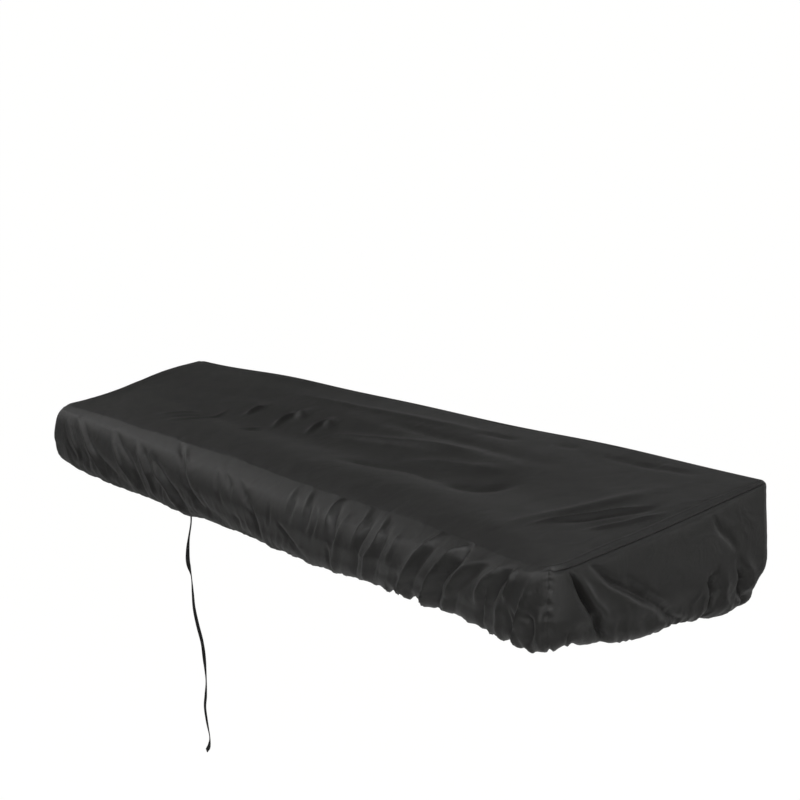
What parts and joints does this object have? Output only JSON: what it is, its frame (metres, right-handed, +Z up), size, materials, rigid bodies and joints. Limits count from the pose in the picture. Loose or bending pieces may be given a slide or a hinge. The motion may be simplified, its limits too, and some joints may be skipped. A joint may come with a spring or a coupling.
{
  "type": "piano cover",
  "caption": "Hollow fitted cloth cover for a keyboard instrument, with a rolled front edge, set-in ends, an elastic hem drawn in below and a flat tie hanging free.",
  "frame": {"origin": "on the underside of the top's middle, where the instrument inside carries the cover", "axes": "+X along the cover's length towards the end that is near in the picture, +Y to the higher back, +Z up"},
  "size_m": [1.3565, 0.2941, 0.482],
  "materials": {
    "black_cloth": "smooth black polyester with a faint satin sheen, silver-coated inside",
    "black_tape": "flat woven black tape"
  },
  "bodies": {
    "root": {"main_panel": "black_cloth", "end_panel_left": "black_cloth", "end_panel_right": "black_cloth", "draw_tape": "black_tape"}
  },
  "joints": []
}
